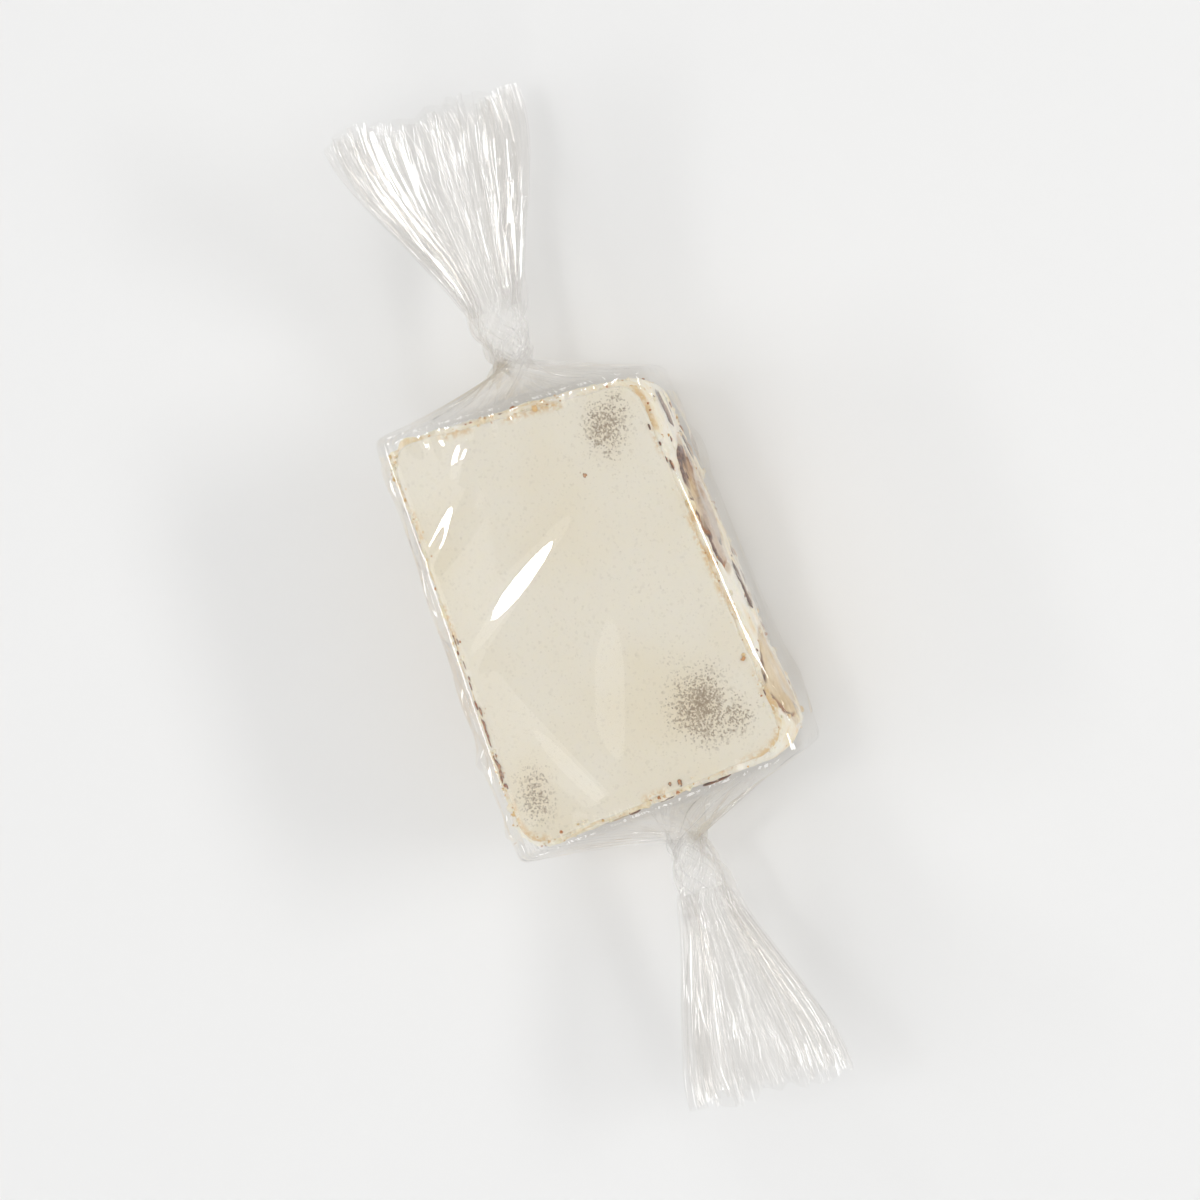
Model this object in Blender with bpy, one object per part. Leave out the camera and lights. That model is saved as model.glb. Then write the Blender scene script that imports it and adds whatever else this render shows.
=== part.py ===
"""A piece of soft almond nougat between two wafer sheets, in its clear twist wrapper.

The block lies on its lower wafer. X runs along it from twist to twist, its front cut side faces -Y,
and the origin is on the floor below its middle. Lengths are metres.
"""

import math

import bmesh
import bpy
import numpy as np

MM = 0.001

# Block: where the two long cut sides meet the two short ones, seen from above
BACK_RIGHT = (19.9 * MM, 12.65 * MM)
BACK_LEFT = (-19.5 * MM, 13.25 * MM)
FRONT_LEFT = (-18.4 * MM, -13.25 * MM)
FRONT_RIGHT = (17.9 * MM, -11.35 * MM)
CORNER_RADIUS = 2.6 * MM
BLOCK_HEIGHT = 15.8 * MM
WAFER_THICKNESS = 0.5 * MM
WAFER_INSET = 0.25 * MM
WAFER_WAVE = 0.006  # wander of the wafer's edge as a share of its distance from the middle
BULGE = 0.45 * MM  # how far the cut sides swell at half height
CUT_EDGE_RADIUS = 0.5 * MM
KNIFE_WAVE = 0.16 * MM  # unevenness of the cut sides

# Clearances between pieces that touch in the real thing
PIECE_GAP = 0.2 * MM
FILM_GAP = 0.36 * MM

# Wrapper: one tube of film, twisted shut at both ends
FILM_WALL = 0.26 * MM
FILM_EDGE_RADIUS = 1.9 * MM
TAIL_LENGTH = 29.4 * MM  # from the end of the block to the tip of the fan
EDGE_START = 0.0 * MM  # where the film starts to round the block's end edges
EDGE_END = 2.2 * MM
CONE_START = 0.9 * MM  # where it leaves them for the neck
NECK_START = 5.6 * MM
NECK_END = 7.8 * MM
NECK_RADIUS = 2.7 * MM
FAN_HALF_WIDTH = 10.6 * MM
FAN_HALF_DEPTH = 4.2 * MM
FAN_TILT = {1: math.radians(38), -1: math.radians(-34)}  # about X, right and left
PLEATS = 8
NECK_PLEAT = 0.12  # pleat depth as a share of the radius
FAN_PLEAT = 0.26
PLEAT_TWIST = math.radians(75)  # turn of the pleats from the block to the tip
PLEAT_UNEVENNESS = 0.12
TIP_UNEVENNESS = 1.1 * MM
FAN_LIFT = 1.6 * MM  # how far the fan's middle rises above the neck's, clear of the floor

# Stations of the film's rings, from just inside the block's end to the tip of the fan
FILM_STATIONS = (-1.6, 0.1, 0.9, 1.7, 2.5, 3.5, 4.6, 5.7, 6.8, 8.2, 10.2, 12.8, 15.8, 19.2, 22.8, 26.2, 29.4)

# Ring of points round the block and the wrapper
ARC_POINTS = 5
LONG_SIDE_POINTS = 8
SHORT_SIDE_POINTS = 6
NOUGAT_LEVELS = (0.0, 0.035, 0.2, 0.4, 0.6, 0.8, 0.965, 1.0)  # shares of the nougat's height
RING_POINTS = 4 * ARC_POINTS + 2 * LONG_SIDE_POINTS + 2 * SHORT_SIDE_POINTS
FIRST_POINT_ANGLE = math.radians(30)  # of the sleeve's first corner, seen from the twist's axis

FILM_BOTTOM = 0.0
BLOCK_BOTTOM = FILM_BOTTOM + FILM_WALL + FILM_GAP
BLOCK_TOP = BLOCK_BOTTOM + BLOCK_HEIGHT
NOUGAT_BOTTOM = BLOCK_BOTTOM + WAFER_THICKNESS + PIECE_GAP
NOUGAT_TOP = BLOCK_TOP - WAFER_THICKNESS - PIECE_GAP
FILM_TOP = BLOCK_TOP + FILM_GAP + FILM_WALL
MIDDLE_HEIGHT = (FILM_TOP + FILM_BOTTOM) / 2
HALF_LENGTH = (BACK_RIGHT[0] + FRONT_RIGHT[0] - BACK_LEFT[0] - FRONT_LEFT[0]) / 4

# Almonds that a cut side goes through: centre and half sizes in mm, and the turn, in degrees, of the
# section that shows. The turn is about Y on the two long sides and about X on the two ends.
ALMONDS = {
    "almond_front_left": ((-12.2, -10.0, 9.6), (4.7, 10.6, 5.9), -8),
    "almond_front_centre": ((5.2, -11.6, 11.0), (6.5, 5.2, 4.0), 12),
    "almond_front_low": ((8.4, -11.6, 4.7), (2.9, 3.0, 1.6), -14),
    "almond_back_left": ((-4.6, 11.2, 8.6), (7.4, 7.6, 5.9), 14),
    "almond_back_right": ((10.6, 11.6, 6.3), (4.6, 5.6, 3.2), -20),
    "almond_end_right": ((17.8, -3.4, 9.8), (5.4, 4.2, 3.3), 16),
    "almond_end_left": ((-18.6, 5.2, 7.4), (4.8, 5.0, 3.4), -12),
}
END_ALMOND_X = 15  # an almond centred further out than this shows at an end
ALMOND_TAPER = 0.22  # how much narrower the pointed end is
ALMOND_LUMPS = 0.05

# Colours, linear
NOUGAT_CREAM = (0.80, 0.70, 0.50, 1)
WAFER_WHITE = (0.82, 0.79, 0.71, 1)
ALMOND_FLESH = (0.62, 0.51, 0.28, 1)
FILM_CLEAR = (1.0, 1.0, 1.0, 1)


def clear_scene():
    for obj in list(bpy.data.objects):
        bpy.data.objects.remove(obj)


def material(name, colour, roughness, transmission=0.0):
    made = bpy.data.materials.new(name)
    made.use_nodes = True
    shader = made.node_tree.nodes["Principled BSDF"]
    shader.inputs["Base Color"].default_value = colour
    shader.inputs["Roughness"].default_value = roughness
    shader.inputs["Metallic"].default_value = 0.0
    shader.inputs["Transmission Weight"].default_value = transmission
    return made


def smooth(low, high, value):
    """0 below low, 1 above high and an S-curve between."""
    share = min(max((value - low) / (high - low), 0.0), 1.0)
    return share * share * (3 - 2 * share)


def mixed(first, second, share):
    return first + (second - first) * share


def rounded_outline(corners, radius, counts, radius_offset=0.0):
    """Points round a four-cornered outline, anticlockwise, with an arc at each corner.

    radius_offset moves the whole outline outwards by that much. counts holds the points inside
    each straight side, the first being the side that ends at the first corner.
    """
    corners = np.array(corners)
    sides = np.roll(corners, -1, axis=0) - corners
    sides /= np.linalg.norm(sides, axis=1)[:, None]
    normals = np.stack([sides[:, 1], -sides[:, 0]], axis=1)
    points = []
    for i in range(4):
        before, after = normals[i - 1], normals[i]
        centre = corners[i] - radius * (before + after) / (1 + before @ after)
        start = math.atan2(before[1], before[0])
        turn = math.acos(max(-1.0, min(1.0, before @ after)))
        angles = start + np.linspace(0, turn, ARC_POINTS)
        arc = centre + (radius + radius_offset) * np.stack([np.cos(angles), np.sin(angles)], axis=1)
        if points:
            points += between(points[-1], arc[0], counts[i])
        points += list(arc)
    points += between(points[-1], points[0], counts[0])
    return np.array(points)


def between(start, end, count):
    """Points evenly spaced between two others, without either."""
    return [mixed(start, end, (i + 1) / (count + 1)) for i in range(count)]


def plan_outline(offset):
    """The block seen from above, moved outwards by offset."""
    corners = (BACK_RIGHT, BACK_LEFT, FRONT_LEFT, FRONT_RIGHT)
    counts = (SHORT_SIDE_POINTS, LONG_SIDE_POINTS, SHORT_SIDE_POINTS, LONG_SIDE_POINTS)
    return rounded_outline(corners, CORNER_RADIUS, counts, offset)


def loft(name, rings, capped=True):
    """An object skinned over rings of points that match one to one."""
    mesh = bpy.data.meshes.new(name)
    shape = bmesh.new()
    rows = [[shape.verts.new(point) for point in ring] for ring in rings]
    for low, high in zip(rows, rows[1:]):
        for i in range(len(low)):
            j = (i + 1) % len(low)
            shape.faces.new((low[i], low[j], high[j], high[i]))
    if capped:
        shape.faces.new(rows[0][::-1])
        shape.faces.new(rows[-1])
    shape.to_mesh(mesh)
    shape.free()
    obj = bpy.data.objects.new(name, mesh)
    bpy.context.scene.collection.objects.link(obj)
    return obj


def finish(obj, surface, parent):
    obj.data.materials.append(surface)
    obj.data.shade_smooth()
    obj.data.set_sharp_from_angle(angle=math.radians(40))
    obj.parent = parent


def knife_wave(angle, height):
    """Outward wander of a cut side: a few slow waves round the block that drift with height."""
    level = height / BLOCK_HEIGHT
    wave = np.sin(7 * angle + 4 * level) + 0.7 * np.sin(12 * angle - 6 * level + 1.3)
    return KNIFE_WAVE * (wave + 0.5 * np.sin(19 * angle + 9 * level + 0.4)) / 2.2


def block_form(name):
    """The nougat between the wafers: cut sides that bulge at half height, with worn edges."""
    height = NOUGAT_TOP - NOUGAT_BOTTOM
    rings = []
    for share in NOUGAT_LEVELS:
        z = NOUGAT_BOTTOM + share * height
        swell = BULGE * (1 - (2 * share - 1) ** 2)
        worn = CUT_EDGE_RADIUS if share in (0.0, 1.0) else 0.0
        ring = plan_outline(swell - worn)
        angle = np.arctan2(ring[:, 1], ring[:, 0])
        outward = ring / np.linalg.norm(ring, axis=1)[:, None]
        ring = ring + outward * knife_wave(angle, z)[:, None]
        rings.append([(x, y, z) for x, y in ring])
    return loft(name, rings)


def wafer(name, bottom, surface, parent):
    """A thin sheet of the block's outline that wanders a little at its edge."""
    outline = plan_outline(-WAFER_INSET)
    angle = np.arctan2(outline[:, 1], outline[:, 0])
    outline = outline * (1 + WAFER_WAVE * np.sin(9 * angle + 800 * bottom))[:, None]
    rings = [[(x, y, bottom + t) for x, y in outline] for t in (0.0, WAFER_THICKNESS)]
    finish(loft(name, rings), surface, parent)


def almond_shape(name, centre, half_sizes, turn, growth):
    """A lumpy almond: a ball stretched to its half sizes, narrower towards its upper end."""
    shape = bmesh.new()
    bmesh.ops.create_icosphere(shape, subdivisions=3, radius=1.0)
    for vert in shape.verts:
        x, y, z = vert.co
        lump = 1 + ALMOND_LUMPS * math.sin(4 * x + 2 * z + centre[0]) * math.cos(3 * y - 2 * z)
        narrow = 1 - ALMOND_TAPER * smooth(-0.2, 1.0, z)
        vert.co = [
            (half_sizes[0] * narrow * lump * MM + growth) * x,
            (half_sizes[1] * lump * MM + growth) * y,
            (half_sizes[2] * lump * MM + growth) * z,
        ]
    mesh = bpy.data.meshes.new(name)
    shape.to_mesh(mesh)
    shape.free()
    obj = bpy.data.objects.new(name, mesh)
    bpy.context.scene.collection.objects.link(obj)
    obj.location = [value * MM for value in centre]
    obj.rotation_euler[0 if abs(centre[0]) > END_ALMOND_X else 1] = math.radians(turn)
    return obj


def hide_helper(obj):
    obj.hide_render = True
    obj.display_type = "WIRE"


def boolean(obj, operation, other):
    """Cuts obj by another object, or by every object of a collection."""
    cut = obj.modifiers.new(operation.lower(), "BOOLEAN")
    cut.operation = operation
    cut.solver = "EXACT"
    if isinstance(other, bpy.types.Collection):
        cut.operand_type = "COLLECTION"
        cut.collection = other
    else:
        cut.object = other


def sleeve_ring(x_share, inset):
    """The film's section round the block, a rounded rectangle as (y, z) pairs.

    x_share is 0 at the left end of the block and 1 at its right end.
    """
    reach = FILM_GAP + FILM_WALL + BULGE - inset
    front = mixed(FRONT_LEFT[1], FRONT_RIGHT[1], x_share) - reach
    back = mixed(BACK_LEFT[1], BACK_RIGHT[1], x_share) + reach
    bottom, top = FILM_BOTTOM + inset, FILM_TOP - inset
    corners = ((back, top), (front, top), (front, bottom), (back, bottom))
    counts = (SHORT_SIDE_POINTS, LONG_SIDE_POINTS, SHORT_SIDE_POINTS, LONG_SIDE_POINTS)
    return rounded_outline(corners, FILM_EDGE_RADIUS, counts)


def zigzag(turns):
    """A triangle wave between -1 and 1, one period for each turn."""
    return 4 * np.abs(turns - np.floor(turns + 0.5)) - 1


def pleated_ring(distance, side):
    """The gathered film beyond the block, as (y, z) pairs about the twist's own axis.

    An ellipse with PLEATS folds that turn with distance: round at the neck, wide at the tip.
    """
    spread = smooth(NECK_START, TAIL_LENGTH, distance) ** 0.8
    wide = mixed(NECK_RADIUS, FAN_HALF_WIDTH, spread)
    deep = mixed(NECK_RADIUS, FAN_HALF_DEPTH, spread)
    depth = mixed(NECK_PLEAT, FAN_PLEAT, spread)
    angle = 2 * math.pi * (np.arange(RING_POINTS) + 0.5) / RING_POINTS + FIRST_POINT_ANGLE
    twist = side * PLEAT_TWIST * distance / TAIL_LENGTH
    uneven = 1 + PLEAT_UNEVENNESS * np.sin(3 * angle + side)
    fold = 1 + depth * uneven * zigzag(PLEATS * (angle - twist) / (2 * math.pi))
    y, z = wide * np.cos(angle) * fold, deep * np.sin(angle) * fold
    tilt = FAN_TILT[side]
    return np.stack([y * math.cos(tilt) - z * math.sin(tilt), y * math.sin(tilt) + z * math.cos(tilt)], 1)


def twist_ring(distance, side):
    """One ring of the wrapper, distance beyond the block's end on the side given as 1 or -1."""
    back, front = (BACK_RIGHT, FRONT_RIGHT) if side > 0 else (BACK_LEFT, FRONT_LEFT)
    inset = FILM_EDGE_RADIUS * (1 - math.cos(math.pi / 2 * smooth(EDGE_START, EDGE_END, distance)))
    sleeve = sleeve_ring(1.0 if side > 0 else 0.0, inset)
    lift = FAN_LIFT * smooth(NECK_END, TAIL_LENGTH, distance)
    gathered = pleated_ring(max(distance, 0.0), side) + (0.0, MIDDLE_HEIGHT + lift)
    ring = mixed(sleeve, gathered, smooth(CONE_START, NECK_START, distance) ** 0.7)

    slant = (back[0] - front[0]) / (back[1] - front[1])
    straight = smooth(0.0, NECK_END, distance)
    tip = smooth(0.8 * TAIL_LENGTH, TAIL_LENGTH, distance)
    middle = mixed((back[0] + front[0]) / 2, side * HALF_LENGTH, tip)
    x = middle + slant * ring[:, 0] * (1 - straight) + side * distance
    around = np.linspace(0, 2 * math.pi, RING_POINTS, endpoint=False)
    x -= side * tip * TIP_UNEVENNESS * (0.5 + 0.5 * np.sin(5 * around + 2 * side))
    return np.column_stack([x, ring])


def wrapper(surface, parent):
    """The film: a sleeve round the block, a twisted neck at each end and a pleated fan beyond."""
    distances = [station * MM for station in FILM_STATIONS]
    rings = [twist_ring(distance, -1) for distance in reversed(distances)]
    rings += [twist_ring(distance, 1) for distance in distances]
    film = loft("wrapper", rings, capped=False)
    shape = bmesh.new()
    shape.from_mesh(film.data)
    bmesh.ops.triangulate(shape, faces=shape.faces)
    shape.to_mesh(film.data)
    shape.free()
    thick = film.modifiers.new("film", "SOLIDIFY")
    thick.thickness = FILM_WALL
    thick.offset = -1
    finish(film, surface, parent)


def main():
    clear_scene()
    piece = bpy.data.objects.new("nougat_piece", None)
    bpy.context.scene.collection.objects.link(piece)
    cream = material("nougat_cream", NOUGAT_CREAM, 0.6)
    paper = material("wafer_white", WAFER_WHITE, 0.7)
    flesh = material("almond_flesh", ALMOND_FLESH, 0.5)
    clear = material("film_clear", FILM_CLEAR, 0.05, transmission=1.0)

    form = block_form("block_form")
    hide_helper(form)
    pockets = bpy.data.collections.new("almond_pockets")
    bpy.context.scene.collection.children.link(pockets)
    for name, (centre, half_sizes, turn) in ALMONDS.items():
        almond = almond_shape(name, centre, half_sizes, turn, 0.0)
        boolean(almond, "INTERSECT", form)
        finish(almond, flesh, piece)
        pocket = almond_shape(name + "_pocket", centre, half_sizes, turn, PIECE_GAP)
        bpy.context.scene.collection.objects.unlink(pocket)
        pockets.objects.link(pocket)
        hide_helper(pocket)

    nougat = block_form("nougat")
    boolean(nougat, "DIFFERENCE", pockets)
    finish(nougat, cream, piece)
    wafer("wafer_bottom", BLOCK_BOTTOM, paper, piece)
    wafer("wafer_top", BLOCK_TOP - WAFER_THICKNESS, paper, piece)
    wrapper(clear, piece)


main()
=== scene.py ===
"""A piece of almond nougat between two wafers in its clear twist wrapper, dressed for the camera.

The fixed frame has the block, its almonds, the wafers and the film as plain solids. Here each gets
its fine surface: crumbly cut sides with almond sections and bits of skin, wafers that show grey
smudges where almonds lie just below, and thin film with gathered, pleated ends.
Lengths are metres, X runs from twist to twist, and the front cut side faces -Y.
"""

import itertools
import math

import bpy
import numpy as np
from mathutils import Matrix, Vector


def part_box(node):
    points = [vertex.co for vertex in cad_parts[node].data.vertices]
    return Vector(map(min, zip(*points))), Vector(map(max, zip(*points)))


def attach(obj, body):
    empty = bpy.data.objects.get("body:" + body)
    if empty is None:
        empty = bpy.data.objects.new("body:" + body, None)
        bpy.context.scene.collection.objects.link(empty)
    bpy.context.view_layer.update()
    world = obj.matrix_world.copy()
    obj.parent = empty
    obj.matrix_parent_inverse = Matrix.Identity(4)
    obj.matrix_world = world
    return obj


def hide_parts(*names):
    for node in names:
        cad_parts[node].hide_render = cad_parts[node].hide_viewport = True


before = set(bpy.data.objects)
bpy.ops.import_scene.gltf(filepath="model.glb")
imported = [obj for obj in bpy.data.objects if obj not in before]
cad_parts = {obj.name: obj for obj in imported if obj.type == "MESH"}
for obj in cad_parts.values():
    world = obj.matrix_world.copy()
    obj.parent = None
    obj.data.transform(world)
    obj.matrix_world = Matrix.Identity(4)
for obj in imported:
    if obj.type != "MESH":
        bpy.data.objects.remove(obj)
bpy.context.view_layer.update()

MM = 0.001

# Block seen from above, as the frame has it
CORNERS = np.array([(19.9, 12.65), (-19.5, 13.25), (-18.4, -13.25), (17.9, -11.35)]) * MM
BACK_RIGHT, BACK_LEFT, FRONT_LEFT, FRONT_RIGHT = CORNERS
CORNER_RADIUS = 2.6 * MM
WAFER_INSET = 0.25 * MM
BULGE = 0.45 * MM
CUT_EDGE_RADIUS = 0.6 * MM
KNIFE_WAVE = 0.16 * MM
ARC_STEPS = 24

# Heights that the frame gives
NOUGAT_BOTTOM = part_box("wafer_bottom")[1].z
NOUGAT_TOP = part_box("wafer_top")[0].z
WAFER_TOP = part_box("wafer_top")[1].z
WAFER_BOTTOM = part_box("wafer_bottom")[0].z
BLOCK_HEIGHT = WAFER_TOP - WAFER_BOTTOM
FILM_TOP = WAFER_TOP + 0.40 * MM
FILM_REACH = 1.07 * MM  # from the block's outline to the film over a cut side
MIDDLE_HEIGHT = FILM_TOP / 2
HALF_LENGTH = (BACK_RIGHT[0] + FRONT_RIGHT[0] - BACK_LEFT[0] - FRONT_LEFT[0]) / 4

# Film: its folds beyond the block, as the frame has them
FILM_EDGE_RADIUS = 1.9 * MM
TAIL_LENGTH = 29.4 * MM
EDGE_END = 2.2 * MM
CONE_START = 0.9 * MM
NECK_START = 5.6 * MM
NECK_END = 7.8 * MM
NECK_RADIUS = 2.7 * MM
FAN_HALF_WIDTH = 10.6 * MM
FAN_HALF_DEPTH = 4.2 * MM
FAN_TILT = {1: math.radians(38), -1: math.radians(-34)}
FAN_LIFT = 1.6 * MM
FIRST_POINT_ANGLE = math.radians(30)
NECK_TWIST = math.radians(200)
FAN_TURN = math.radians(26)
FILM_GIRTH = 86 * MM
PLEATS = 13
INNER_FILM_START = 9.5 * MM
INNER_FILM_SHRINK = 0.84

# Fine mesh
NOUGAT_AROUND = 780
NOUGAT_ROWS = 100
WAFER_AROUND = 420
WAFER_RINGS = 64
ALMOND_AROUND = 150
ALMOND_RINGS = 46
FILM_AROUND = 440
SLEEVE_ROWS = 100
# Stretches of a tail's rows: start and end beyond the block in mm, and how many rows
TAIL_STRETCHES = ((-1.6, 0.9, 7), (0.9, 8.2, 23), (8.2, 29.4, 29))

# Almonds that a cut side goes through: centre and half sizes in mm, the turn of the section in
# degrees, and how broken it is, from 0, cut clean, to 1, shattered
ALMONDS = {
    "almond_front_left": ((-12.2, -10.0, 9.6), (4.7, 10.6, 5.9), -8, 0.1),
    "almond_front_centre": ((5.2, -11.6, 11.0), (6.5, 5.2, 4.0), 12, 1.0),
    "almond_front_low": ((8.4, -11.6, 4.7), (2.9, 3.0, 1.6), -14, 0.5),
    "almond_back_left": ((-4.6, 11.2, 8.6), (7.4, 7.6, 5.9), 14, 0.15),
    "almond_back_right": ((10.6, 11.6, 6.3), (4.6, 5.6, 3.2), -20, 0.6),
    "almond_end_right": ((17.8, -3.4, 9.8), (5.4, 4.2, 3.3), 16, 0.2),
    "almond_end_left": ((-18.6, 5.2, 7.4), (4.8, 5.0, 3.4), -12, 0.4),
}
END_ALMOND_X = 15
ALMOND_TAPER = 0.22
ALMOND_LUMPS = 0.05

# Grey smudges on a wafer, where almonds lie just below: centre and half sizes in mm, strength
TOP_SMUDGES = (
    ((14.6, -7.1), (3.0, 2.3), 0.62),
    ((16.4, -9.0), (2.4, 1.5), 0.28),
    ((-12.0, -6.8), (3.7, 3.2), 1.0),
    ((-14.2, -9.4), (1.9, 2.1), 0.6),
    ((-14.7, 10.4), (3.2, 1.9), 0.55),
)
BOTTOM_SMUDGES = (
    ((-6.0, 4.0), (3.0, 2.2), 0.8),
    ((11.5, -3.5), (2.2, 2.6), 0.5),
    ((4.0, 9.2), (1.6, 1.3), 0.35),
)

# Bits of almond skin on the front cut side: place along X, height, length and width in mm, turn in
# degrees, and tone from 0, dark brown, past 0.5, reddish, to 1, greyish
FRONT_SKINS = (
    (-3.3, 8.4, 4.6, 1.3, 8, 0.85), (14.6, 8.9, 4.2, 2.1, 6, 0.95), (-7.7, 2.7, 1.8, 1.1, -20, 0.45),
    (-4.3, 3.4, 1.2, 1.1, 10, 0.5), (-2.4, 3.9, 1.7, 1.5, 30, 0.9), (0.1, 4.3, 1.5, 0.9, 60, 0.4),
    (-0.2, 2.9, 1.3, 0.7, 25, 0.6), (11.3, 5.6, 2.6, 1.0, 35, 0.8), (9.3, 15.5, 1.1, 0.7, 12, 0.6),
    (9.9, 15.9, 0.8, 0.4, -20, 0.3), (13.2, 16.3, 0.6, 0.3, 10, 0.25), (11.6, 15.9, 0.5, 0.3, -30, 0.3),
    (-13.0, 16.0, 0.6, 0.3, 20, 0.4), (3.0, 1.9, 0.8, 0.5, 20, 0.5), (12.4, 2.1, 0.9, 0.5, -15, 0.55),
    (6.2, 2.4, 0.7, 0.6, 0, 0.55), (-15.4, 4.1, 0.7, 0.5, 0, 0.5),
)
OTHER_SKINS = 22
SKIN_SPECKS = 44
CRUMB_TRIES = 5200

# Specks on the upper wafer: place, half sizes and thickness in mm, and tone
WAFER_SPECKS = (
    (11.1, -4.0, 0.26, 0.22, 0.07, 0.6), (11.5, -3.7, 0.10, 0.08, 0.05, 0.6),
    (-18.1, -2.6, 0.35, 0.2, 0.07, 0.55), (-17.9, -1.7, 0.2, 0.16, 0.06, 0.6),
)

# Soft ridges in the film over the upper wafer: middle in mm, direction of the crest in degrees from X,
# then half width, half length and height in mm
TOP_RIDGES = (
    ((3.0, 4.6), -57.4, 0.8, 4.7, 0.170),
    ((9.9, 10.4), -45.0, 0.5, 2.2, 0.108),
    ((9.2, 10.6), -61.0, 0.5, 1.7, 0.108),
    ((16.5, 5.7), -42.0, 0.45, 1.4, 0.097),
    ((-9.5, -1.0), -20.0, 1.6, 6.0, 0.10),
    ((-14.0, 5.0), 25.0, 1.0, 5.0, 0.12),
)
SIDE_WRINKLES = 34
WRINKLE_REACH = 19.0  # mm to each side of the middle

# Soft boxes: place and size in metres, power in watts and the angle of the beam in degrees
LAMPS = {
    "high_box": ((0.10, 0.16, 0.52), (0.05, 0.07), 0.22, 180),
    "veil_box": ((0.02, 0.22, 0.52), (0.30, 0.22), 0.10, 180),
    "inner_veil_box": ((0.01, 0.25, 0.52), (0.25, 0.20), 0.08, 180),
    "low_front_box": ((0.13, -0.42, 0.09), (0.04, 0.15), 0.0042, 40),
    "low_back_box": ((-0.13, 0.42, 0.09), (0.04, 0.15), 0.0035, 40),
    "front_box": ((-0.08, -0.44, 0.28), (0.26, 0.08), 0.80, 180),
    "back_box": ((0.10, 0.46, 0.30), (0.26, 0.06), 0.38, 180),
    "right_box": ((0.45, 0.06, 0.20), (0.05, 0.30), 0.0857, 100),
    "left_box": ((-0.42, 0.10, 0.20), (0.05, 0.28), 0.0857, 100),
}
SURROUND_GLOW = (0.60, 0.68)  # at the horizon and overhead
FLOOR_REACH = 4.0

HASH_MASK = 0x7FFFFFFF
HASH_PRIMES = (73856093, 19349663, 83492791)


def smooth(low, high, value):
    """0 below low, 1 above high and an S-curve between."""
    share = np.clip((value - low) / (high - low), 0.0, 1.0)
    return share * share * (3 - 2 * share)


def mixed(first, second, share):
    return first + (second - first) * share


def rotated(across, up, angle):
    """Two coordinates after an anticlockwise turn by that angle."""
    sine, cosine = np.sin(angle), np.cos(angle)
    return across * cosine - up * sine, across * sine + up * cosine


def cell_random(cells, seed):
    """A fixed random number from 0 to 1 for each whole-number cell; the last axis has its coordinates."""
    code = np.full(cells.shape[:-1], seed * 97 + 13, np.int64)
    for axis in range(cells.shape[-1]):
        code = (code * 40503 + cells[..., axis] * HASH_PRIMES[axis]) & HASH_MASK
        code = ((code ^ (code >> 15)) * 739982445) & HASH_MASK
        code ^= code >> 12
    return code / HASH_MASK


def soft_noise(points, size, seed):
    """Smooth noise from -1 to 1: random numbers on a lattice of that size, blended along each axis."""
    place = points / size
    corner = np.floor(place).astype(np.int64)
    share = place - corner
    share = share * share * (3 - 2 * share)
    total = 0.0
    for step in itertools.product((0, 1), repeat=points.shape[-1]):
        weight = np.prod(np.where(step, share, 1 - share), axis=-1)
        total = total + weight * cell_random(corner + step, seed)
    return 2 * total - 1


def facet_noise(points, size, seed):
    """Flat facets from -1 to 1 that meet at creases: planes between random heights on a triangle lattice."""
    place = points / size
    corner = np.floor(place).astype(np.int64)
    across, up = np.moveaxis(place - corner, -1, 0)
    low = across > up
    third = corner + np.where(low[..., None], (1, 0), (0, 1))
    near, far, side = (cell_random(c, seed) for c in (corner, corner + 1, third))
    below = near * (1 - across) + side * (across - up) + far * up
    above = near * (1 - up) + side * (up - across) + far * across
    return 2 * np.where(low, below, above) - 1


def nearest_seeds(points, size, seed):
    """Seeds strewn one to a lattice cell: the distance to the nearest in cells, how much further the next
    is, and the nearest one's random number."""
    place = points / size
    home = np.floor(place).astype(np.int64)
    first = np.full(place.shape[:-1], 9.0)
    second = first.copy()
    tone = np.zeros_like(first)
    for step in itertools.product((-1, 0, 1), repeat=points.shape[-1]):
        cell = home + step
        spot = cell + np.stack([cell_random(cell, seed + axis) for axis in range(points.shape[-1])], -1)
        away = np.linalg.norm(place - spot, axis=-1)
        closer = away < first
        second = np.where(closer, first, np.minimum(second, away))
        tone = np.where(closer, cell_random(cell, seed + 7), tone)
        first = np.where(closer, away, first)
    return first, second - first, tone


def rounded_outline(corners, radius, count):
    """That many points, evenly spaced round four corners, anticlockwise, and the outward direction at each.

    An arc of the radius turns each corner, and straight lines join the arcs.
    """
    corners = np.array(corners)
    sides = np.roll(corners, -1, axis=0) - corners
    sides /= np.linalg.norm(sides, axis=1)[:, None]
    normals = np.stack([sides[:, 1], -sides[:, 0]], axis=1)
    points, outward = [], []
    for i in range(4):
        before, after = normals[i - 1], normals[i]
        centre = corners[i] - radius * (before + after) / (1 + before @ after)
        start = math.atan2(before[1], before[0])
        angles = start + np.linspace(0, math.acos(np.clip(before @ after, -1, 1)), ARC_STEPS)
        arc = np.stack([np.cos(angles), np.sin(angles)], axis=1)
        points.append(centre + radius * arc)
        outward.append(arc)
    points = np.concatenate(points + [points[0][:1]])
    outward = np.concatenate(outward + [outward[0][:1]])
    length = np.concatenate([[0.0], np.cumsum(np.linalg.norm(np.diff(points, axis=0), axis=1))])
    at = np.linspace(0, length[-1], count, endpoint=False)
    points = np.stack([np.interp(at, length, points[:, k]) for k in (0, 1)], axis=1)
    outward = np.stack([np.interp(at, length, outward[:, k]) for k in (0, 1)], axis=1)
    return points, outward / np.linalg.norm(outward, axis=1)[:, None]


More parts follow.
